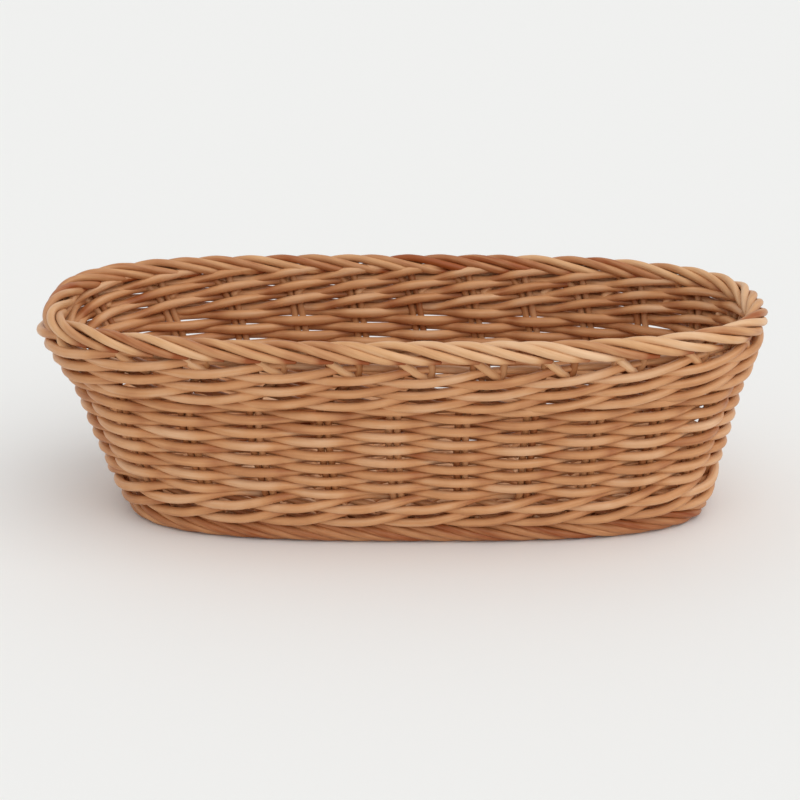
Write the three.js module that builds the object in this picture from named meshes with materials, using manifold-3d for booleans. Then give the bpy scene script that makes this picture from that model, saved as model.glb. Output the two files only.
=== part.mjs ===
// Oval bread basket woven from round cane: upright stake pairs, plain woven rows between bands of
// three-strand waling, a rolled rim, a rope-like foot and a woven base. Millimetres, +Z up, length
// along X. The origin is the middle of the bottom of the whole basket, where it stands.
import * as THREE from "three";
import { mergeVertices } from "three/addons/utils/BufferGeometryUtils.js";
import Module from "manifold-3d";

const wasm = await Module();
wasm.setup();

// Driving dimensions of the basket.
const LENGTH = 400; // over the rim
const WIDTH = 180; // over the rim
const HEIGHT = 122.5; // table to rim crest
const OVAL_POWER = 3.1; // superellipse power of the plan: long sides nearly straight, ends round
const RIM_RADIUS = 6.3; // rolled rim
const FOOT_HALF_LENGTH = 158; // centre line of the foot rope
const FOOT_HALF_WIDTH = 60;
const FOOT_WIDTH = 11; // section of the foot rope
const FOOT_HEIGHT = 12.4;
const FOOT_SHIFT = 7; // the foot sits this much nearer the +X end, so that end is steeper

// Cane and its layout.
const PAIRS = 25; // stake pairs round the basket: an odd number, so that one strand can weave round
const PAIR_PHASE = 0.31; // of a pair spacing, where the first pair stands from the +X end
const PAIR_DRIFT = 0.27; // of a pair spacing, how far the spacing wanders from even
const PAIR_DRIFT_TURN = 0.88; // share of the way round where the pairs stand furthest on
const STAKE_RADIUS = 2.1; // half thickness of a pair through the wall
const STAKE_HALF_SPAN = 4.6; // half width of a pair along the wall
const STAKE_WAIST = 1.5; // half thickness of a pair between its two rods
const CANE_RADIUS = 2.3; // half thickness of a woven strand through the wall
const CANE_FLAT = 0.74; // its height over its thickness, packed between its neighbours
const WALE_FLAT = 0.64; // the same for a waling strand, three of which share one course
const GAP = 0.3; // left between touching pieces
const WOVEN_GAP = 0.7; // left between a strand and a stake pair, so that it clears them on the bends
const BEND = 6.4; // along the wall from the middle of a pair to where a strand starts to cross over

// Bands up the wall.
const LOWER_WALE_COURSES = 2;
const LOWER_WALE_PITCH = 7.9;
const ROWS = 14; // plain woven rows
const ROW_PITCH = 3.82;
const UPPER_WALE_COURSES = 3;
const UPPER_WALE_PITCH = 7.2;
const WALE_STRANDS = 3; // per course
const WALE_RISE = 1.9; // a waling strand lies this far below its course, then climbs as far above it

// Base inside the foot.
const BASE_THICKNESS = 4;
const BASE_BOTTOM = 8;
const BASE_INSET = 8; // from the centre line of the foot to the edge of the base
const BASE_STICKS = 3; // lengthwise, under the base
const BASE_STICK_SPACING = 26;
const BASE_STICK_RADIUS = 2;

const FOOT_LEVEL = FOOT_HEIGHT / 2;
const RIM_LEVEL = HEIGHT - RIM_RADIUS;
const RIM_HALF_LENGTH = LENGTH / 2 - RIM_RADIUS;
const RIM_HALF_WIDTH = WIDTH / 2 - RIM_RADIUS;
const STRAND_OFFSET = STAKE_RADIUS + CANE_RADIUS + WOVEN_GAP;

const finish = (color) => new THREE.MeshStandardMaterial({ color, roughness: 0.5, metalness: 0 });
const honeyCane = finish(0xc99563);
const shadedCane = finish(0xb07a4a);
const paleCane = finish(0xd6a873);

// Distance from the middle to the plan outline at a polar angle.
function ovalPoint(angle, halfLength, halfWidth) {
  const along = Math.abs(Math.cos(angle) / halfLength) ** OVAL_POWER;
  const across = Math.abs(Math.sin(angle) / halfWidth) ** OVAL_POWER;
  const reach = (along + across) ** (-1 / OVAL_POWER);
  return new THREE.Vector3(reach * Math.cos(angle), reach * Math.sin(angle), 0);
}

// The plan outline as a closed curve, measured anticlockwise from the +X end.
class Oval extends THREE.Curve {
  constructor(halfLength, halfWidth) {
    super();
    this.halfLength = halfLength;
    this.halfWidth = halfWidth;
    this.arcLengthDivisions = 1440;
  }

  getPoint(t) {
    return ovalPoint(2 * Math.PI * t, this.halfLength, this.halfWidth);
  }
}

const MIDDLE_HALF_LENGTH = (FOOT_HALF_LENGTH + RIM_HALF_LENGTH) / 2;
const MIDDLE_HALF_WIDTH = (FOOT_HALF_WIDTH + RIM_HALF_WIDTH) / 2;
const middleOval = new Oval(MIDDLE_HALF_LENGTH, MIDDLE_HALF_WIDTH);
const GIRTH = middleOval.getLength();

// A point of the wall: round is the share of the way round, level the height, and out the distance
// outwards from the middle of the wall's thickness.
function wallPoint(round, level, out = 0) {
  const flare = (level - FOOT_LEVEL) / (RIM_LEVEL - FOOT_LEVEL);
  const lengthScale = THREE.MathUtils.lerp(FOOT_HALF_LENGTH, RIM_HALF_LENGTH, flare) / MIDDLE_HALF_LENGTH;
  const widthScale = THREE.MathUtils.lerp(FOOT_HALF_WIDTH, RIM_HALF_WIDTH, flare) / MIDDLE_HALF_WIDTH;
  const turn = THREE.MathUtils.euclideanModulo(round, 1);
  const place = middleOval.getPointAt(turn);
  const heading = middleOval.getTangentAt(turn);
  const outward = new THREE.Vector2(heading.y * widthScale, -heading.x * lengthScale).normalize();
  return new THREE.Vector3(
    place.x * lengthScale + FOOT_SHIFT * (1 - flare) + out * outward.x,
    place.y * widthScale + out * outward.y,
    level,
  );
}

// The share of the way round at which a pair stands. A half pair is midway to the next.
function pairPlace(pair) {
  const drift = PAIR_DRIFT * Math.cos(2 * Math.PI * (pair / PAIRS - PAIR_DRIFT_TURN));
  return (pair + PAIR_PHASE + drift) / PAIRS;
}

// A line through its stations, which a tube follows with one section at each station.
class Strand extends THREE.Curve {
  constructor(stations) {
    super();
    this.stations = stations;
  }

  getPoint(t) {
    const spans = this.stations.length - 1;
    const before = Math.min(Math.floor(t * spans), spans - 1);
    return this.stations[before].clone().lerp(this.stations[before + 1], t * spans - before);
  }

  getPointAt(t) {
    return this.getPoint(t);
  }

  getTangentAt(t) {
    return this.getTangent(t);
  }
}

// A strand of cane through the stations: a four-sided section, flattened in height by the factor flat.
function cane(stations, flat) {
  const section = new THREE.Shape();
  section.moveTo(CANE_RADIUS, 0);
  section.lineTo(0, CANE_RADIUS);
  section.lineTo(-CANE_RADIUS, 0);
  section.lineTo(0, -CANE_RADIUS);
  section.closePath();
  const stretched = stations.map((p) => new THREE.Vector3(p.x, p.y, p.z / flat));
  const extrudePath = new Strand(stretched);
  const tube = new THREE.ExtrudeGeometry(section, { steps: stations.length - 1, extrudePath });
  return tube.scale(1, 1, flat);
}

// Geometry to solid and back, for the cuts and joins.
function toSolid(geometry) {
  const bare = geometry.clone();
  bare.deleteAttribute("normal");
  bare.deleteAttribute("uv");
  const merged = mergeVertices(bare, 1e-3);
  return new wasm.Manifold(
    new wasm.Mesh({
      numProp: 3,
      vertProperties: merged.attributes.position.array,
      triVerts: new Uint32Array(merged.index.array),
    }),
  );
}

function toGeometry(solid) {
  const mesh = solid.getMesh();
  const geometry = new THREE.BufferGeometry();
  geometry.setAttribute("position", new THREE.BufferAttribute(mesh.vertProperties, 3));
  geometry.setIndex(new THREE.BufferAttribute(mesh.triVerts, 1));
  geometry.computeVertexNormals();
  return geometry;
}

function named(name, geometry, material) {
  const mesh = new THREE.Mesh(geometry, material);
  mesh.name = name;
  return mesh;
}

// Two rods side by side: the outline of a stake pair, across the wall and along it.
function pairOutline(grow) {
  const span = STAKE_HALF_SPAN + grow;
  const thick = STAKE_RADIUS + grow;
  const waist = STAKE_WAIST + grow;
  const crown = STAKE_HALF_SPAN / 2;
  const outline = new THREE.Shape();
  outline.moveTo(span, 0);
  outline.lineTo(crown, thick);
  outline.lineTo(0, waist);
  outline.lineTo(-crown, thick);
  outline.lineTo(-span, 0);
  outline.lineTo(-crown, -thick);
  outline.lineTo(0, -waist);
  outline.lineTo(crown, -thick);
  outline.closePath();
  return outline;
}

const STAKE_BOTTOM = FOOT_HEIGHT - 5; // let into the foot rope
const STAKE_TOP = HEIGHT - 2 * RIM_RADIUS + 4; // let into the rolled rim

// A stake pair standing in the wall. The ends are let into sockets in the foot and the rim.
function stakePair(pair, grow = 0) {
  const round = pairPlace(pair);
  const bottom = wallPoint(round, STAKE_BOTTOM - grow);
  const top = wallPoint(round, STAKE_TOP + grow);
  const up = top.clone().sub(bottom);
  const length = up.length();
  up.normalize();
  const outer = wallPoint(round, STAKE_BOTTOM - grow, 1).sub(bottom);
  const along = outer.clone().cross(up).normalize();
  const outward = up.clone().cross(along);
  const geometry = new THREE.ExtrudeGeometry(pairOutline(grow), { depth: length, bevelEnabled: false });
  const place = new THREE.Matrix4().makeBasis(along, outward, up).setPosition(bottom);
  return geometry.applyMatrix4(place);
}

// The two places where a strand starts and ends on a pair, at one height and on one side.
function besidePair(pair, level, side) {
  return [-BEND, BEND].map((along) => wallPoint(pairPlace(pair) + along / GIRTH, level, side));
}

// Half a gap before or after the seam of the weave, which lies midway between the last pair and the
// first. A turn of the weave ends there, face to face with the start of the next turn.
const seamPlace = (side) => pairPlace(-0.5) + (side * GAP) / 2 / GIRTH;

// One turn of the plain weave: outside every second pair and inside the next. The pairs are odd in
// number, so the next turn goes the other way, and each turn climbs to the next at the seam.
function wovenRow(row, level) {
  const stations = [];
  if (row > 1) stations.push(wallPoint(seamPlace(1), level - ROW_PITCH / 2));
  for (let pair = 0; pair < PAIRS; pair++) {
    const side = (pair + row) % 2 === 0 ? STRAND_OFFSET : -STRAND_OFFSET;
    stations.push(...besidePair(pair, level, side));
  }
  if (row < ROWS) stations.push(wallPoint(seamPlace(-1), level + ROW_PITCH / 2));
  return cane(stations, CANE_FLAT);
}

// One turn of a waling strand. It runs outside two pairs, low at the first and high at the second,
// then inside the third, where it comes down again. Three turns close a course, one for each strand.
function waleStrand(level, turn) {
  const low = level - WALE_RISE;
  const high = level + WALE_RISE;
  const seams = [
    [low, 0],
    [level, STRAND_OFFSET],
    [high, 0],
  ];
  const stations = [wallPoint(seamPlace(1), ...seams[(turn * PAIRS) % WALE_STRANDS])];
  for (let pair = 0; pair < PAIRS; pair++) {
    const role = (turn * PAIRS + pair) % WALE_STRANDS;
    if (role === 0) stations.push(...besidePair(pair, low, STRAND_OFFSET));
    if (role === 1) stations.push(...besidePair(pair, high, STRAND_OFFSET));
    if (role === 2) {
      stations.push(besidePair(pair, high, -STRAND_OFFSET)[0]);
      stations.push(besidePair(pair, low, -STRAND_OFFSET)[1]);
    }
  }
  stations.push(wallPoint(seamPlace(-1), ...seams[((turn + 1) * PAIRS) % WALE_STRANDS]));
  return cane(stations, WALE_FLAT);
}

// The sockets that the stake pairs stand in, as one solid to cut away.
const pairSockets = [...Array(PAIRS).keys()]
  .map((pair) => toSolid(stakePair(pair, GAP)))
  .reduce((all, socket) => all.add(socket));

const RIM_STATIONS = 50;
const RIM_SIDES = 8;

function rolledRim() {
  const stations = [];
  for (let station = 0; station < RIM_STATIONS; station++) {
    stations.push(wallPoint(station / RIM_STATIONS, RIM_LEVEL));
  }
  const loop = new THREE.CatmullRomCurve3(stations, true);
  const tube = new THREE.TubeGeometry(loop, RIM_STATIONS, RIM_RADIUS, RIM_SIDES, true);
  return toGeometry(toSolid(tube).subtract(pairSockets));
}

// The plan outline at a level as a shape, grown outwards by the distance out.
function planShape(level, out) {
  const points = [];
  for (let station = 0; station < RIM_STATIONS; station++) {
    const p = wallPoint(station / RIM_STATIONS, level, out);
    points.push(new THREE.Vector2(p.x, p.y));
  }
  return new THREE.Shape(points);
}

// The foot: a ring with a flat underside, standing on the table.
function footRope() {
  const bevel = 2.5;
  const shape = planShape(FOOT_LEVEL, FOOT_WIDTH / 2 - bevel);
  shape.holes.push(planShape(FOOT_LEVEL, -FOOT_WIDTH / 2 + bevel));
  const body = new THREE.ExtrudeGeometry(shape, {
    depth: FOOT_HEIGHT - 2 * bevel,
    bevelThickness: bevel,
    bevelSize: bevel,
    bevelSegments: 1,
  });
  return toGeometry(toSolid(body.translate(0, 0, bevel)).subtract(pairSockets));
}

// The woven base, as a panel that fills the oval inside the foot.
function basePanel() {
  const shape = planShape(FOOT_LEVEL, -BASE_INSET);
  const panel = new THREE.ExtrudeGeometry(shape, { depth: BASE_THICKNESS, bevelEnabled: false });
  return panel.translate(0, 0, BASE_BOTTOM);
}

// A stick under the base, running lengthwise, at a distance across from the middle.
function baseStick(across) {
  const reach = ovalPoint(Math.PI / 2, FOOT_HALF_LENGTH, FOOT_HALF_WIDTH).y - BASE_INSET;
  const shrink = (1 - Math.abs(across / reach) ** OVAL_POWER) ** (1 / OVAL_POWER);
  const length = 2 * (FOOT_HALF_LENGTH - BASE_INSET) * shrink;
  const stick = new THREE.CylinderGeometry(BASE_STICK_RADIUS, BASE_STICK_RADIUS, length, 8);
  stick.rotateZ(Math.PI / 2);
  return stick.translate(FOOT_SHIFT, across, BASE_BOTTOM - BASE_STICK_RADIUS - GAP);
}

const basket = new THREE.Group();

for (let pair = 0; pair < PAIRS; pair++) {
  basket.add(named(`stake_pair_${pair + 1}`, stakePair(pair), shadedCane));
}

const strandNames = ["a", "b", "c"];

// The strands of one waling course, each its own piece.
function addWale(name, middle) {
  strandNames.forEach((strand, turn) => {
    basket.add(named(`${name}_strand_${strand}`, waleStrand(middle, turn), honeyCane));
  });
}

let level = FOOT_HEIGHT + GAP;
for (let course = 1; course <= LOWER_WALE_COURSES; course++) {
  addWale(`lower_wale_${course}`, level + LOWER_WALE_PITCH / 2);
  level += LOWER_WALE_PITCH;
}
for (let row = 1; row <= ROWS; row++) {
  basket.add(named(`woven_row_${row}`, wovenRow(row, level + ROW_PITCH / 2), honeyCane));
  level += ROW_PITCH;
}
for (let course = 1; course <= UPPER_WALE_COURSES; course++) {
  addWale(`upper_wale_${course}`, level + UPPER_WALE_PITCH / 2);
  level += UPPER_WALE_PITCH;
}

basket.add(named("rolled_rim", rolledRim(), paleCane));
basket.add(named("foot_rope", footRope(), honeyCane));
basket.add(named("base_panel", basePanel(), shadedCane));
for (let stick = 0; stick < BASE_STICKS; stick++) {
  const across = (stick - (BASE_STICKS - 1) / 2) * BASE_STICK_SPACING;
  basket.add(named(`base_stick_${stick + 1}`, baseStick(across), shadedCane));
}

export default basket;
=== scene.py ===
"""Oval bread basket woven from round cane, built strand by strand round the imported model's frame.

Each woven row, waling strand, stake pair, border and base cane is a tube that follows the path the
basket maker lays it on. Lengths are in metres; MM turns millimetres into them.
"""
import math

import bpy
import numpy as np
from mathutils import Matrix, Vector


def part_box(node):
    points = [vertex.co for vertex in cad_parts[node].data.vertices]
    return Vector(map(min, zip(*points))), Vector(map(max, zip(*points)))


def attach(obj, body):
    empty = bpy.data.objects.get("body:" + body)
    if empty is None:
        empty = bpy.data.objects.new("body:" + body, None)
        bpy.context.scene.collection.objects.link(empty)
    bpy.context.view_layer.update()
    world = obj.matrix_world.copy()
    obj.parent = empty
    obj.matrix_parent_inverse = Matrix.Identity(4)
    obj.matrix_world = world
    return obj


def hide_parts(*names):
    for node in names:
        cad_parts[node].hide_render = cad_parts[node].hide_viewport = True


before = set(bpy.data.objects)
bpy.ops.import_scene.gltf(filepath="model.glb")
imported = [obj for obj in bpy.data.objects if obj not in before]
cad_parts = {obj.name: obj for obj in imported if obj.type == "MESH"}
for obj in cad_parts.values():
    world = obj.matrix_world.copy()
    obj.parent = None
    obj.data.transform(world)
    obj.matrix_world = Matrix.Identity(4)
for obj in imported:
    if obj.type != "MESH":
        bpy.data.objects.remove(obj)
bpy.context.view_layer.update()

MM = 0.001
TURN = 2 * math.pi

# The oval and its flare, with the sizes that the frame gives read off it.
RIM_LOW, RIM_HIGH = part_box("rolled_rim")
FOOT_LOW, FOOT_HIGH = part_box("foot_rope")
BASE_LOW, BASE_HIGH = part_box("base_panel")
OVAL_POWER = 3.1
RIM_RADIUS = 6.3 * MM
FOOT_HEIGHT = FOOT_HIGH.z
FOOT_WIDTH = 11 * MM
FOOT_LEVEL = FOOT_HEIGHT / 2
RIM_LEVEL = RIM_HIGH.z - RIM_RADIUS
RIM_HALF_LENGTH = (RIM_HIGH.x - RIM_LOW.x) / 2 - RIM_RADIUS
RIM_HALF_WIDTH = (RIM_HIGH.y - RIM_LOW.y) / 2 - RIM_RADIUS
FOOT_HALF_LENGTH = (FOOT_HIGH.x - FOOT_LOW.x - FOOT_WIDTH) / 2
FOOT_HALF_WIDTH = (FOOT_HIGH.y - FOOT_LOW.y - FOOT_WIDTH) / 2
FOOT_SHIFT = (FOOT_HIGH.x + FOOT_LOW.x) / 2
MIDDLE_HALF_LENGTH = (RIM_HALF_LENGTH + FOOT_HALF_LENGTH) / 2
MIDDLE_HALF_WIDTH = (RIM_HALF_WIDTH + FOOT_HALF_WIDTH) / 2
WALL_CURVE = 0.18  # how far the wall bows from straight: it leans out most at the foot and under the rim
OVAL_STATIONS = 7201
# Worked by hand, the oval is not quite even. Each of these fades out towards its middle.
LEFT_BULGE = (3 * MM, 4 * MM)  # the left end stands out by up to this below the rim, and more close to it
LEFT_BACK = 5 * MM  # and it lies back by up to this
RIGHT_FOOT = 3 * MM  # the foot stands out by up to this at the right end
RIGHT_ROUND = 0.11  # share by which the right end is rounder
UNDER_RIM = 9 * MM  # below the rim's middle, the height over which the bulge comes in
HIGH_BULGE = (75 * MM, 25 * MM)  # height at which it starts to grow, and over how much more
LOW_FOOT = (30 * MM, 25 * MM)  # height at which the foot starts to stand out, and down over how much

# Canes and their layout round the wall.
PAIRS = 25
PAIR_PHASE = 0.31  # pair spacings from the +X end to the first pair, before any drift
PAIR_DRIFT = 0.27  # pair spacings by which the pairs drift on and back from their even places
PAIR_DRIFT_TURN = 0.88  # share of the way round where the pairs stand furthest on
RIM_PHASE = 0.57  # under the rim the front stakes have leaned over to an even spacing
EVEN_FROM = 57 * MM  # height at which they start to lean over
EVEN_OVER = 48 * MM  # and how much further up they are even
LEAN = 3.25  # pair spacings per metre of height that the back stakes lean on
LEAN_MORE = 8.2  # how much more that is at the right end, and less at the left
LEAN_LEVELS = (50 * MM, 95 * MM)  # they start to lean at the first, and stand at their places at the second
CANE_RADIUS = 2.36 * MM
ROD_RADIUS = 2.03 * MM
ROD_SPACING = 4.3 * MM
WEAVE_DEPTH = 4.2 * MM
SQUEEZE = 0.83  # height left to a strand where it crosses its neighbours
SQUEEZED_WIDER = 0.1

# Bands up the wall.
LOWER_WALE_COURSES = 2
LOWER_WALE_PITCH = 7.9 * MM
ROWS = 14
ROW_PITCH = 3.82 * MM
UPPER_WALE_COURSES = 3
UPPER_WALE_PITCH = 7.2 * MM
WALE_STRANDS = ("a", "b", "c")
BAND_START = FOOT_HEIGHT + 0.3 * MM

SIDES = 12
STEPS = 14  # stations from one stake pair to the next
random = np.random.default_rng(25)


# ---------------------------------------------------------------- camera, floor and light

CAMERA_AIM = Vector((-2.9 * MM, 0, 60.3 * MM))
CAMERA_DISTANCE = 1101.7 * MM
CAMERA_ELEVATION = math.radians(19.79)
SENSOR = 36
LENS = 87.4


def linear(hex_color):
    """sRGB hex to linear RGBA."""
    channels = [int(hex_color[i:i + 2], 16) / 255 for i in (1, 3, 5)]
    return (*[c / 12.92 if c <= 0.04045 else ((c + 0.055) / 1.055) ** 2.4 for c in channels], 1)


def add_camera():
    data = bpy.data.cameras.new("camera")
    data.sensor_width = SENSOR
    data.lens = LENS
    camera = bpy.data.objects.new("camera", data)
    back = Vector((0, -math.cos(CAMERA_ELEVATION), math.sin(CAMERA_ELEVATION)))
    camera.location = CAMERA_AIM + back * CAMERA_DISTANCE
    camera.rotation_euler = (-back).to_track_quat("-Z", "Y").to_euler()
    bpy.context.scene.collection.objects.link(camera)
    bpy.context.scene.camera = camera


def add_sun(name, toward, spread, power, color):
    """Even light from the direction toward, as wide as spread degrees, the way a big softbox gives it."""
    data = bpy.data.lights.new(name, "SUN")
    data.angle = math.radians(spread)
    data.energy = power
    data.color = linear(color)[:3]
    light = bpy.data.objects.new(name, data)
    light.rotation_euler = (-Vector(toward)).to_track_quat("-Z", "Y").to_euler()
    bpy.context.scene.collection.objects.link(light)


def node(tree, kind, inputs=None, **settings):
    """Adds a node: settings are its properties, inputs its sockets' values or the outputs they take."""
    made = tree.nodes.new(kind)
    for name, value in settings.items():
        setattr(made, name, value)
    for name, value in (inputs or {}).items():
        if isinstance(value, bpy.types.NodeSocket):
            tree.links.new(value, made.inputs[name])
        else:
            made.inputs[name].default_value = value
    return made


def new_material(name):
    material = bpy.data.materials.new(name)
    material.use_nodes = True
    material.node_tree.nodes.clear()
    return material, material.node_tree


def finish_material(tree, shader):
    node(tree, "ShaderNodeOutputMaterial", {"Surface": shader.outputs[0]})


def studio():
    scene = bpy.context.scene
    scene.view_settings.view_transform = "Standard"
    world = bpy.data.worlds.new("studio")
    world.use_nodes = True
    world.node_tree.nodes["Background"].inputs["Color"].default_value = linear("#f7f8f8")
    world.node_tree.nodes["Background"].inputs["Strength"].default_value = 0.76
    scene.world = world
    add_sun("key", (0.5, -0.55, 0.95), 75, 1.15, "#fffefc")

    material, tree = new_material("matte_paper_sweep")
    shader = node(tree, "ShaderNodeBsdfPrincipled", {"Base Color": linear("#f1f1f0"), "Roughness": 0.9})
    finish_material(tree, shader)
    floor_half = 12
    corners = [(-floor_half, -floor_half), (floor_half, -floor_half), (floor_half, floor_half),
               (-floor_half, floor_half)]
    mesh = bpy.data.meshes.new("floor")
    mesh.from_pydata([(x, y, 0) for x, y in corners], [], [(0, 1, 2, 3)])
    mesh.materials.append(material)
    floor = bpy.data.objects.new("floor", mesh)
    scene.collection.objects.link(floor)


# ---------------------------------------------------------------- the wall and its layout

def oval_table():
    """The middle oval, anticlockwise from the +X end, tabled against the share of its length."""
    angle = np.linspace(0, TURN, OVAL_STATIONS)
    along = np.abs(np.cos(angle) / MIDDLE_HALF_LENGTH) ** OVAL_POWER
    across = np.abs(np.sin(angle) / MIDDLE_HALF_WIDTH) ** OVAL_POWER
    reach = (along + across) ** (-1 / OVAL_POWER)
    x, y = reach * np.cos(angle), reach * np.sin(angle)
    length = np.concatenate([[0], np.cumsum(np.hypot(np.diff(x), np.diff(y)))])
    return length / length[-1], x, y, length[-1]


SHARE, OVAL_X, OVAL_Y, GIRTH = oval_table()
HEADING_X = np.gradient(OVAL_X, SHARE)
HEADING_Y = np.gradient(OVAL_Y, SHARE)
HEADING_X[-1] = HEADING_X[0] = 0  # at the +X end the oval heads straight across
HEADING_Y[-1] = HEADING_Y[0]


def smooth(x):
    x = np.clip(x, 0, 1)
    return x * x * (3 - 2 * x)


def wall(turn, level, out=0.0):
    """Points of the wall and its outward directions there. turn is the share of the way round, level
    the height, and out the distance outwards from the middle of the wall's thickness."""
    turn, level, out = np.broadcast_arrays(np.mod(turn, 1.0), level, out)
    height = (level - FOOT_LEVEL) / (RIM_LEVEL - FOOT_LEVEL)
    flare = height + WALL_CURVE * (4 * (height - 0.5) ** 3 - (height - 0.5))
    long_scale = (FOOT_HALF_LENGTH + (RIM_HALF_LENGTH - FOOT_HALF_LENGTH) * flare) / MIDDLE_HALF_LENGTH
    wide_scale = (FOOT_HALF_WIDTH + (RIM_HALF_WIDTH - FOOT_HALF_WIDTH) * flare) / MIDDLE_HALF_WIDTH
    x = np.interp(turn, SHARE, OVAL_X) * long_scale + FOOT_SHIFT * (1 - flare)
    y = np.interp(turn, SHARE, OVAL_Y) * wide_scale
    left = np.clip(-x / RIM_HALF_LENGTH, 0, 1)
    right = np.clip(x / RIM_HALF_LENGTH, 0, 1)
    under_rim = smooth((RIM_LEVEL - level) / UNDER_RIM)
    high = smooth((level - HIGH_BULGE[0]) / HIGH_BULGE[1])
    low = smooth((LOW_FOOT[0] - level) / LOW_FOOT[1])
    x = x - left ** 3 * under_rim * (LEFT_BULGE[0] + LEFT_BULGE[1] * high)
    x = x + right ** 3 * RIGHT_FOOT * low
    y = y * (1 - RIGHT_ROUND * right ** 4) + LEFT_BACK * left ** 2
    normal_x = np.interp(turn, SHARE, HEADING_Y) * wide_scale
    normal_y = -np.interp(turn, SHARE, HEADING_X) * long_scale
    size = np.hypot(normal_x, normal_y)
    outward = np.stack([normal_x / size, normal_y / size, np.zeros_like(size)], axis=-1)
    return np.stack([x, y, level], axis=-1) + out[..., None] * outward, outward


def backness(turn):
    """0 in the middle of the front wall, 1 in the middle of the back."""
    return 0.5 - 0.5 * np.cos(TURN * (turn - 0.75))


def place(pair, level):
    """Share of the way round at which a pair, or a point between pairs, stands at a level."""
    back = backness(pair / PAIRS)
    drift = PAIR_PHASE + PAIR_DRIFT * np.cos(TURN * (pair / PAIRS - PAIR_DRIFT_TURN))
    rate = back * (LEAN + LEAN_MORE * np.cos(TURN * pair / PAIRS))
    leaned = drift + rate * (np.maximum(level, LEAN_LEVELS[0]) - LEAN_LEVELS[1])
    even = smooth((level - EVEN_FROM) / EVEN_OVER) * (1 - back)
    return (pair + leaned + (RIM_PHASE - leaned) * even) / PAIRS


LOOSE_LEAST = 0.018  # the weave is packed tightest in front and stands taller round the back
LOOSE_MORE = 0.115
LOOSE_TURN = 0.28  # share of the way round where it stands tallest
LOOSE_SPREAD = 0.6  # below 1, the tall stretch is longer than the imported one
LOOSE_FLATTER = 1.5  # how much less, for its looseness, a strand swings out and in
LOOSE_THICKER = 2  # how much thicker, for its looseness, a strand lies


def looseness(pair):
    """How much taller the weave stands there than its packed height."""
    around = 0.5 + 0.5 * np.cos(TURN * (pair / PAIRS - LOOSE_TURN))
    return LOOSE_LEAST + LOOSE_MORE * around ** LOOSE_SPREAD


def weave_depth(pair):
    """How far a woven strand swings out and in, less where the weave is loose."""
    return WEAVE_DEPTH * (1 - LOOSE_FLATTER * looseness(pair))


def woven_level(pair, level):
    """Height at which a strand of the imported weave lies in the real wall."""
    return BAND_START + (level - BAND_START) * (1 + looseness(pair))


def wander(count, amount, waves):
    """A slow random drift along a strand, the way a cane never lies quite straight."""
    x = np.linspace(0, 1, count)
    total = np.zeros(count)
    for octave in (0.6, 1.0, 1.7):
        total += np.sin(TURN * (waves * octave * x + random.random())) / 3
    return amount * total


# ---------------------------------------------------------------- tubes

TUCKED_PAINTED_SHADE = 0.95  # painted shade: how much a strand's tone is taken down where it is fully tucked in behind its neighbours


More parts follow.
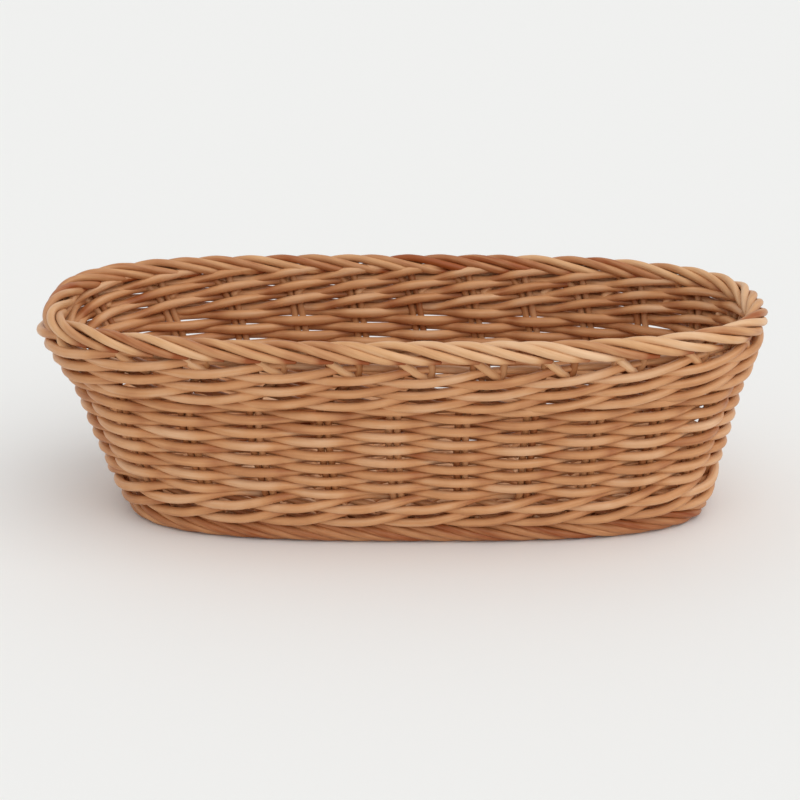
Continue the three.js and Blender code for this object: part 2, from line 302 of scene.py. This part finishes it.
class Strands:
    """Gathers tubes of cane into one mesh."""

    def __init__(self):
        self.points, self.faces, self.grain, self.tone = [], [], [], []
        self.count = 0

    def lay(self, path, outward, half_out, half_up, capped=True, tone=None, tucked=0.0):
        """One strand along the path. Its section is half_out across the wall and half_up along it. Its
        tone is one number for the strand, taken down by painted shade where it is tucked behind its
        neighbours."""
        stations = len(path)
        tucked = np.broadcast_to(tucked, stations).astype(float)
        half_out = np.broadcast_to(half_out, stations).astype(float)
        half_up = np.broadcast_to(half_up, stations).astype(float)
        if capped:
            path, outward, half_out, half_up = self.rounded(path, outward, half_out, half_up)
            spare = (len(path) - stations) // 2
            tucked = np.pad(tucked, spare, mode="edge")
            stations = len(path)
        tangent = np.gradient(path, axis=0)
        tangent /= np.linalg.norm(tangent, axis=1)[:, None]
        normal = outward - (outward * tangent).sum(1)[:, None] * tangent
        normal /= np.linalg.norm(normal, axis=1)[:, None]
        side = np.cross(tangent, normal)
        angle = np.arange(SIDES) * TURN / SIDES
        ring_out = np.cos(angle)[None, :] * half_out[:, None]
        ring_up = np.sin(angle)[None, :] * half_up[:, None]
        skin = (path[:, None] + ring_out[..., None] * normal[:, None] + ring_up[..., None] * side[:, None])
        length = np.concatenate([[0], np.cumsum(np.linalg.norm(np.diff(path, axis=0), axis=1))])
        shift = random.random(3) * 3
        grain = np.stack([np.broadcast_to(length[:, None], ring_out.shape) + shift[0],
                          ring_out + shift[1], ring_up + shift[2]], axis=-1)
        first = np.arange(stations - 1)[:, None] * SIDES + np.arange(SIDES)[None]
        beside = np.arange(stations - 1)[:, None] * SIDES + (np.arange(SIDES)[None] + 1) % SIDES
        quads = np.stack([first, beside, beside + SIDES, first + SIDES], axis=-1).reshape(-1, 4)
        self.points.append(skin.reshape(-1, 3))
        self.grain.append(grain.reshape(-1, 3))
        # painted shade: the strand's tone is taken down where it is tucked behind its neighbours
        shade = (random.random() if tone is None else tone) - TUCKED_PAINTED_SHADE * tucked
        self.tone.append(np.repeat(shade, SIDES))
        self.faces += (quads + self.count).tolist()
        if capped:
            self.faces.append((np.arange(SIDES)[::-1] + self.count).tolist())
            self.faces.append((np.arange(SIDES) + self.count + (stations - 1) * SIDES).tolist())
        self.count += stations * SIDES

    @staticmethod
    def rounded(path, outward, half_out, half_up):
        """Adds the stations of a softly rounded end at both ends of a strand."""
        steps = ((0.30, 0.94), (0.62, 0.76), (0.86, 0.46), (0.97, 0.16))
        head = path[0] - path[1]
        head = head / np.linalg.norm(head) * half_up[0]
        tail = path[-1] - path[-2]
        tail = tail / np.linalg.norm(tail) * half_up[-1]
        before = [path[0] + head * far for far, _ in reversed(steps)]
        after = [path[-1] + tail * far for far, _ in steps]
        shrink = [size for _, size in steps]
        return (
            np.concatenate([before, path, after]),
            np.concatenate([[outward[0]] * len(steps), outward, [outward[-1]] * len(steps)]),
            np.concatenate([half_out[0] * np.array(shrink[::-1]), half_out, half_out[-1] * np.array(shrink)]),
            np.concatenate([half_up[0] * np.array(shrink[::-1]), half_up, half_up[-1] * np.array(shrink)]),
        )

    def build(self, name, material, slot, *nodes):
        mesh = bpy.data.meshes.new(name)
        mesh.from_pydata(np.concatenate(self.points).tolist(), [], self.faces)
        grain = mesh.attributes.new("cane_grain", "FLOAT_VECTOR", "POINT")
        grain.data.foreach_set("vector", np.concatenate(self.grain).astype(np.float32).ravel())
        tone = mesh.attributes.new("cane_tone_and_painted_shade", "FLOAT", "POINT")
        tone.data.foreach_set("value", np.concatenate(self.tone).astype(np.float32))
        mesh.shade_smooth()
        mesh.materials.append(material)
        piece = bpy.data.objects.new(name, mesh)
        bpy.context.scene.collection.objects.link(piece)
        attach(piece, "root")
        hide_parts(*nodes)


# ---------------------------------------------------------------- cane materials

GRAIN_WIDTH = 0.45 * MM  # fine die lines that run along an extruded cane
STREAK_WIDTH = 1.6 * MM
MOTTLE = 14 * MM
MOTTLE_TONE = 0.55  # how much the mottle, the strand's tone with its painted shade, and the streaks each say in its color
STRAND_TONE = 0.42
STREAK_TONE = 0.35
TONE_LEVEL = -0.28
HONEY_AT = 0.38
PALE_AT = 0.75
STREAK_ROUGHNESS = 0.22


def cane_material(name, pale, honey, russet_and_painted_shade, roughness):
    """Poly cane, extruded polypropylene: a satin skin with faint die lines running lengthwise, honey
    tan that wanders a little in tone from strand to strand and along each one, with painted shade that takes
    it down towards russet where a strand is tucked behind its neighbours."""
    material, tree = new_material(name)
    grain = node(tree, "ShaderNodeAttribute", attribute_name="cane_grain").outputs["Vector"]
    # the tone attribute holds the strand's own tone taken down by painted shade where it is tucked
    tone = node(tree, "ShaderNodeAttribute", attribute_name="cane_tone_and_painted_shade").outputs["Fac"]

    def along(width, stretch):
        """Noise as wide as given across the cane and stretched along it."""
        scaled = node(tree, "ShaderNodeMapping", {"Vector": grain, "Scale": (1 / stretch, 1, 1)})
        return node(tree, "ShaderNodeTexNoise", {"Vector": scaled.outputs[0], "Scale": 1 / width,
                                                 "Detail": 3, "Roughness": 0.55}).outputs["Fac"]

    mottle = along(MOTTLE, 2)
    streaks = along(STREAK_WIDTH, 30)
    lines = along(GRAIN_WIDTH, 60)
    drift = node(tree, "ShaderNodeMath", {0: mottle, 1: MOTTLE_TONE, 2: TONE_LEVEL},
                 operation="MULTIPLY_ADD")
    with_tone = node(tree, "ShaderNodeMath", {0: tone, 1: STRAND_TONE, 2: drift.outputs[0]},
                     operation="MULTIPLY_ADD")
    blend = node(tree, "ShaderNodeMath", {0: streaks, 1: STREAK_TONE, 2: with_tone.outputs[0]},
                 operation="MULTIPLY_ADD")
    # the russet end is reached by low tones and mostly by painted shade at the tucks
    ramp = node(tree, "ShaderNodeValToRGB", {"Fac": blend.outputs[0]})
    ramp.color_ramp.elements[0].position = 0
    ramp.color_ramp.elements[0].color = linear(russet_and_painted_shade)
    ramp.color_ramp.elements[1].position = PALE_AT
    ramp.color_ramp.elements[1].color = linear(pale)
    ramp.color_ramp.elements.new(HONEY_AT).color = linear(honey)
    satin = node(tree, "ShaderNodeMath",
                 {0: streaks, 1: STREAK_ROUGHNESS, 2: roughness - STREAK_ROUGHNESS / 2},
                 operation="MULTIPLY_ADD")
    lines_bump = node(tree, "ShaderNodeBump", {"Height": lines, "Strength": 0.35, "Distance": 0.1 * MM})
    bump = node(tree, "ShaderNodeBump", {"Height": streaks, "Strength": 0.35, "Distance": 0.25 * MM,
                                         "Normal": lines_bump.outputs[0]})
    shader = node(tree, "ShaderNodeBsdfPrincipled", {
        "Base Color": ramp.outputs["Color"], "Roughness": satin.outputs[0], "IOR": 1.49,
        "Specular IOR Level": 0.32, "Normal": bump.outputs[0]})
    finish_material(tree, shader)
    return material


woven_cane = cane_material("extruded_poly_cane_satin_honey", "#ebc5a0", "#cf9666", "#924517", 0.42)
# painted shade: a darker copy of the woven cane for the stakes and base sticks, which stand back in shade
stake_cane = cane_material("extruded_poly_cane_satin_tan_painted_shade", "#cd9a70", "#ba8050", "#8f4a22", 0.46)
border_cane = cane_material("extruded_poly_cane_satin_pale", "#efcaa5", "#d6a373", "#9d5226", 0.4)


# ---------------------------------------------------------------- woven rows and waling

def thickness(pair, squeeze):
    """Half sizes of a woven strand: pressed lower and wider where it is squeezed."""
    radius = CANE_RADIUS * (1 + wander(len(pair), 0.03, 9)) * (1 + LOOSE_THICKER * looseness(pair))
    return radius * (1 + SQUEEZED_WIDER * squeeze), radius * (1 - (1 - SQUEEZE) * squeeze)


ROW_PAINTED_SHADE = 0.33  # share of the tucked painted shade that a row takes just before it crosses the wall
ROW_DIVE = 0.31  # pairs past each pair where that is, and half its stretch
ROW_DIVE_HALF = 0.14
ROW_SQUEEZE_HALF = 0.42  # share of its swing either side of the crossing where a row is squeezed
ROW_WANDER = 0.35 * MM
EARLY = 0.3  # radians of its wave by which a row crosses before the middle between two pairs
ROW_TONE = 0.52 + 0.5 * (np.random.default_rng(7).random(ROWS) - 0.5)


def woven_row(row, level):
    """One turn of the plain weave: outside every second pair and inside the next."""
    count = PAIRS * STEPS + 1
    pair = np.linspace(-0.5, PAIRS - 0.5, count)
    side = np.cos(math.pi * (pair + row) + EARLY)
    climb = np.zeros(count)
    if row > 1:
        climb -= ROW_PITCH / 2 * (1 - smooth((pair + 0.5) * 2))
    if row < ROWS:
        climb += ROW_PITCH / 2 * smooth((pair - PAIRS + 1) * 2)
    lift = wander(count, ROW_WANDER, 11)
    lift *= smooth(np.minimum(pair + 0.5, PAIRS - 0.5 - pair))
    height = woven_level(pair, level + climb + lift)
    path, outward = wall(place(pair, height), height, side * weave_depth(pair))
    half_out, half_up = thickness(pair, np.exp(-(side / ROW_SQUEEZE_HALF) ** 2))
    # painted shade where the row goes in behind the next pair
    dive_painted_shade = ROW_PAINTED_SHADE * np.exp(-((np.mod(pair, 1) - ROW_DIVE) / ROW_DIVE_HALF) ** 2)
    row_cane = Strands()
    ends_show = row in (1, ROWS)
    row_cane.lay(path, outward, half_out, half_up, capped=ends_show, tone=ROW_TONE[row - 1],
                 tucked=dive_painted_shade)
    row_cane.build(f"row_{row}_cane", woven_cane, "woven_cane", f"woven_row_{row}")


# A waling strand over its three pairs: outside two, inside the third, where it drops back.
WALE_OUT = ((0, 0.95), (0.5, 1.45), (1, 1), (1.25, 0.3), (1.5, -0.4), (2, -1.05), (2.5, -0.4),
            (2.75, 0.25), (3, 0.95))  # pairs along the strand, share of the weave's depth outwards
WALE_RISE = ((0, -1), (0.4, -0.8), (0.75, -0.15), (1.2, 0.9), (1.45, 1.05), (2, 0.6), (2.3, -0.1),
             (2.65, -0.95), (2.8, -1), (3, -1))  # pairs along the strand, share of the lift
WALE_LIFT = 3.4 * MM
WALE_SLIM = 0.95  # share of a row strand's height that it has
WALE_PAINTED_SHADE = 0.55  # share of the tucked painted shade that it takes where it dives
WALE_DIVES = ((1.2, 0.25), (2.4, 0.2))  # where it goes in and where it comes out, and half the stretch
WALE_SQUEEZED = (1.5, 2.5)  # where it is pressed lower between its neighbours
WALE_SQUEEZE_HALF = 0.3
WALE_WANDER = 0.3 * MM
WALE_SOFTENING = 9  # stations over which the stops are rounded off


def eased(step, stops):
    """The stops joined into one smooth wave that repeats every three pairs."""
    fine = np.arange(0, 3 * STEPS) / STEPS
    straight = np.interp(fine, *zip(*stops))
    kernel = np.hanning(WALE_SOFTENING)
    soft = np.convolve(np.tile(straight, 3), kernel / kernel.sum(), mode="same")[3 * STEPS:6 * STEPS]
    return np.interp(np.mod(step, 3), np.append(fine, 3), np.append(soft, soft[0]))


def wale_strand(middle, turn):
    pair = np.linspace(-0.5, PAIRS - 0.5, PAIRS * STEPS + 1)
    step = np.mod(pair + PAIRS * turn, 3)
    out = WEAVE_DEPTH * eased(step, WALE_OUT)
    lift = wander(len(pair), WALE_WANDER, 8) * smooth(np.minimum(pair + 0.5, PAIRS - 0.5 - pair))
    height = woven_level(pair, middle + WALE_LIFT * eased(step, WALE_RISE) + lift)
    path, outward = wall(place(pair, height), height, out)
    crossing = sum(np.exp(-((step - at) / WALE_SQUEEZE_HALF) ** 2) for at in WALE_SQUEEZED)
    half_out, half_up = thickness(pair, crossing)
    half_up = half_up * WALE_SLIM
    # painted shade where the waling strand dives in behind its neighbours and comes out again
    dive_painted_shade = WALE_PAINTED_SHADE * sum(np.exp(-((step - at) / half) ** 2) for at, half in WALE_DIVES)
    strand = Strands()
    strand.lay(path, outward, half_out, half_up, capped=False, tone=0.42 + 0.35 * random.random(),
               tucked=dive_painted_shade)
    return strand


def wale_course(band, course, middle):
    for turn, letter in enumerate(WALE_STRANDS):
        name = f"{band}_wale_{course}_strand_{letter}"
        strand = wale_strand(middle, turn)
        strand.build(f"{band}_wale_{course}_cane_{letter}", woven_cane, "woven_cane", name)


# ---------------------------------------------------------------- stakes

STAKE_FOOT = 4 * MM
STAKE_TOP = RIM_LEVEL - 3 * MM
LEADING_SWING = (16 * MM, 10 * MM)  # how far each rod of a pair swings on, at the front and the back
TRAILING_SWING = (6 * MM, 1 * MM)
LEADING_FROM = (80 * MM, 8 * MM)  # packed height where the leading rod starts, and how much more at the back
LEADING_OVER = 22 * MM
LEADING_BEND = 1.2
TRAILING_FROM = 88 * MM
TRAILING_OVER = 14 * MM
STAKE_STATIONS = 46


def stake_pair(pair):
    """Two upright rods side by side. The leading one swings away under the rim to start its strand."""
    level = np.linspace(STAKE_FOOT, STAKE_TOP, STAKE_STATIONS)
    rods = Strands()
    packed = BAND_START + (level - BAND_START) / (1 + looseness(pair))
    back = backness(pair / PAIRS)
    leading_swing = LEADING_SWING[0] + (LEADING_SWING[1] - LEADING_SWING[0]) * back
    trailing_swing = TRAILING_SWING[0] + (TRAILING_SWING[1] - TRAILING_SWING[0]) * back
    leading_from = LEADING_FROM[0] + LEADING_FROM[1] * back
    leading_on = smooth((packed - leading_from) / LEADING_OVER) ** LEADING_BEND
    trailing_on = smooth((packed - TRAILING_FROM) / TRAILING_OVER)
    leading = ROD_SPACING / 2 + leading_swing * leading_on
    trailing = -ROD_SPACING / 2 + trailing_swing * trailing_on
    for along in (leading, trailing):
        along = along + wander(STAKE_STATIONS, 0.25 * MM, 2)
        turn = place(pair, level) + along / GIRTH
        path, outward = wall(turn, level, wander(STAKE_STATIONS, 0.2 * MM, 2))
        rods.lay(path, outward, ROD_RADIUS, ROD_RADIUS)
    rods.build(f"stake_pair_{pair + 1}_rods", stake_cane, "stake_cane", f"stake_pair_{pair + 1}")


# ---------------------------------------------------------------- rolled borders

BORDER_STRANDS = 2 * PAIRS
SPACING = GIRTH / PAIRS


CREST = math.radians(20)  # where on the roll a strand rides highest over the ones under it
ROLL_STATIONS = 44
TUCK_STRETCH = 0.2  # share of a strand at each end that is drawn into the roll
END_SIZE = 0.55  # share of its thickness that a strand keeps at its ends


def roll_strand(strands, turn, level, roll, radii, sweep, advance, half, taper, ride=0.0,
                tucked=(0.0, 0.0), tone=None):
    """A strand wound along a border roll. Angles are measured from straight up, outwards positive: it
    starts at the angle roll and turns through sweep. radii are the roll's half sizes to the middle of
    the strand; advance is how far it travels round the basket. ride lifts it over the strands under it
    at the crest, and tucked draws its two ends into the roll."""
    share = np.linspace(0, 1, ROLL_STATIONS)
    angle = roll + sweep * share
    travel = advance * share
    tuck = (1 - smooth(share / TUCK_STRETCH)) * tucked[0]
    tuck += (1 - smooth((1 - share) / TUCK_STRETCH)) * tucked[1]
    lifted = 1 + ride * np.clip(np.cos(angle - CREST), 0, 1) ** 2 - tuck
    out = radii[0] * lifted * np.sin(angle)
    height = level + radii[1] * lifted * np.cos(angle)
    path, outward = wall(turn + travel / GIRTH, np.full(ROLL_STATIONS, level))
    path = path + out[:, None] * outward
    path[:, 2] = height
    up = np.zeros_like(outward)
    up[:, 2] = 1
    radial = outward * np.sin(angle)[:, None] + up * np.cos(angle)[:, None]
    narrow = smooth(share / taper[0]) * smooth((1 - share) / taper[1])
    size = END_SIZE + (1 - END_SIZE) * narrow
    wobble = 1 + wander(ROLL_STATIONS, 0.035, 2)
    # painted shade: the tone is taken down towards the thin ends, where the strand goes in under the others
    strands.lay(path, radial, half[0] * size * wobble, half[1] * size * wobble, tone=tone,
                tucked=1 - narrow)


RIM_ADVANCE = 2.25 * SPACING
RIM_START = math.radians(-138)
RIM_SWEEP = math.radians(283)
RIM_CORE = 4.15 * MM  # from the middle of the roll to the middle of its strands
RIM_DROP = 1.35 * MM  # the roll's middle lies this far below the rim's level
RIM_SETBACK = 0.3 * SPACING  # how far back round the wall all the roll's strands are set
RIM_CANE = (2.25 * MM, 2.3 * MM)  # half sizes of a strand
RIM_TAPER = (0.14, 0.12)  # shares of a strand over which its two ends grow thin
RIM_RIDE = 0.3
RIM_TUCK = (0.3, 0.05)
BACK_PAINTED_SHADE = 0.55  # painted shade: how much the rim's tone is taken down in the middle of the back


def rim_border():
    """Every rod of every pair turns over the rim towards the next pairs and tucks under its edge."""
    strands = Strands()
    for index in range(BORDER_STRANDS):
        turn = (index + RIM_PHASE) / BORDER_STRANDS - RIM_SETBACK / GIRTH
        turn += random.normal(0, 0.4 * MM) / GIRTH
        core = RIM_CORE * (1 + random.normal(0, 0.03))
        # painted shade: the rim's tone is taken down towards the middle of the back
        tone = random.random() - BACK_PAINTED_SHADE * backness(turn)
        roll_strand(strands, turn, RIM_LEVEL - RIM_DROP, RIM_START + random.normal(0, 0.08),
                    (core, core), RIM_SWEEP, RIM_ADVANCE, RIM_CANE, RIM_TAPER,
                    ride=RIM_RIDE, tucked=RIM_TUCK, tone=tone)
    strands.build("rim_border_canes", border_cane, "border_cane", "rolled_rim")


TAIL_AHEAD = 10.0 * MM  # along the wall from its pair
TAIL_LEAN = math.tan(math.radians(47))  # how far it runs along for what it drops
TAIL_HALF_DROP = 5.4 * MM
TAIL_STATIONS = 12
TAIL_BELOW = 10.4 * MM  # its middle lies this far below the rim's level
TAIL_CANE = (2.35 * MM, 2.4 * MM)


def rim_tails():
    """The end of one strand of each pair, brought down under the rim and tucked behind the waling."""
    tails = Strands()
    for pair in range(PAIRS):
        share = np.linspace(-1, 1, TAIL_STATIONS)
        drop = TAIL_HALF_DROP * share
        level = RIM_LEVEL - TAIL_BELOW - drop
        along = TAIL_AHEAD + TAIL_LEAN * drop + random.normal(0, 0.5 * MM)
        turn = (pair + RIM_PHASE) / PAIRS + along / GIRTH
        out = (2.1 - 0.9 * share - 1.6 * share ** 2) * MM
        path, outward = wall(turn, level, out)
        tails.lay(path, outward, *TAIL_CANE, tone=0.35 + 0.4 * random.random())
    tails.build("rim_tail_canes", border_cane, "border_cane", "rolled_rim")


FOOT_ADVANCE = 2.4 * SPACING
FOOT_ROLL_START = math.radians(-40)
FOOT_SWEEP = math.radians(280)
FOOT_CANE = 2.25 * MM
FOOT_TAPER = (0.1, 0.15)
FOOT_ROLL = (FOOT_WIDTH / 2 - 1.7 * MM, FOOT_HEIGHT / 2 - 2.3 * MM)  # half sizes to its strands' middles


def foot_border():
    """The foot: a low rolled border, its strands coming out under the waling and running down under."""
    strands = Strands()
    for index in range(BORDER_STRANDS):
        turn = index / BORDER_STRANDS + random.normal(0, 0.5 * MM) / GIRTH
        roll_strand(strands, turn, FOOT_LEVEL, FOOT_ROLL_START + random.normal(0, 0.06), FOOT_ROLL,
                    FOOT_SWEEP, FOOT_ADVANCE, (FOOT_CANE, FOOT_CANE), FOOT_TAPER,
                    tone=0.45 * random.random() - 0.18)
    strands.build("foot_border_canes", woven_cane, "border_cane", "foot_rope")


# ---------------------------------------------------------------- base

BASE_CANE = 1.8 * MM
BASE_CANE_PITCH = 3.9 * MM
CROSS_STICKS = 19
BASE_MIDDLE = (BASE_LOW + BASE_HIGH) / 2
BASE_HALF = (BASE_HIGH - BASE_LOW) / 2
BASE_REACH = 5 * MM  # how far the base canes run on past the panel's box
BASE_LIFT = 0.9 * MM  # how far the weave lies above the middle of that box
BASE_SWING = 1.9 * BASE_CANE  # how far the canes swing over and under the cross sticks
CROSS_STATIONS = 40
STICK_STATIONS = 60
UP = (0.0, 0.0, 1.0)


def base_chord(across, half_length, half_width):
    share = min(abs(across) / half_width, 0.999)
    return half_length * (1 - share ** OVAL_POWER) ** (1 / OVAL_POWER)


def base_weave():
    """The base: canes running lengthwise over and under cross sticks."""
    level = BASE_MIDDLE.z + BASE_LIFT
    half_length = BASE_HALF.x + BASE_REACH
    half_width = BASE_HALF.y + BASE_REACH
    spacing = 2 * half_length / CROSS_STICKS
    weave = Strands()
    for index in range(CROSS_STICKS):
        x = (index - (CROSS_STICKS - 1) / 2) * spacing
        reach = base_chord(x, half_width, half_length)
        y = np.linspace(-reach, reach, CROSS_STATIONS)
        bent = BASE_MIDDLE.x + x + wander(CROSS_STATIONS, 0.3 * MM, 2)
        path = np.stack([bent, y, np.full(CROSS_STATIONS, level)], axis=-1)
        weave.lay(path, np.tile(UP, (CROSS_STATIONS, 1)), BASE_CANE, BASE_CANE)
    canes = int(half_width / BASE_CANE_PITCH)
    for index in range(-canes, canes + 1):
        y = index * BASE_CANE_PITCH
        reach = base_chord(y, half_length, half_width)
        count = max(12, int(reach / (1.3 * MM)))
        x = np.linspace(-reach, reach, count)
        wave = np.cos(math.pi * (x / spacing + index + (CROSS_STICKS - 1) / 2))
        path = np.stack([BASE_MIDDLE.x + x, np.full(count, y) + wander(count, 0.25 * MM, 5),
                         level + wave * BASE_SWING], axis=-1)
        weave.lay(path, np.tile(UP, (count, 1)), BASE_CANE * 0.97, BASE_CANE)
    weave.build("base_weave_canes", woven_cane, "woven_cane", "base_panel")


def base_stick(number):
    """A lengthwise stick under the base."""
    name = f"base_stick_{number}"
    low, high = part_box(name)
    radius = (high.z - low.z) / 2
    x = np.linspace(low.x + radius, high.x - radius, STICK_STATIONS)
    y = (low.y + high.y) / 2 + wander(STICK_STATIONS, 0.4 * MM, 3)
    path = np.stack([x, y, np.full(STICK_STATIONS, (low.z + high.z) / 2)], axis=-1)
    stick = Strands()
    stick.lay(path, np.tile(UP, (STICK_STATIONS, 1)), radius, radius)
    stick.build(f"{name}_rod", stake_cane, "stake_cane", name)


# ---------------------------------------------------------------- the basket

add_camera()
studio()

for pair in range(PAIRS):
    stake_pair(pair)
level = BAND_START
for course in range(1, LOWER_WALE_COURSES + 1):
    wale_course("lower", course, level + LOWER_WALE_PITCH / 2)
    level += LOWER_WALE_PITCH
for row in range(1, ROWS + 1):
    woven_row(row, level + ROW_PITCH / 2)
    level += ROW_PITCH
for course in range(1, UPPER_WALE_COURSES + 1):
    wale_course("upper", course, level + UPPER_WALE_PITCH / 2)
    level += UPPER_WALE_PITCH
rim_border()
rim_tails()
foot_border()
base_weave()
for number in (1, 2, 3):
    base_stick(number)

bpy.context.view_layer.update()
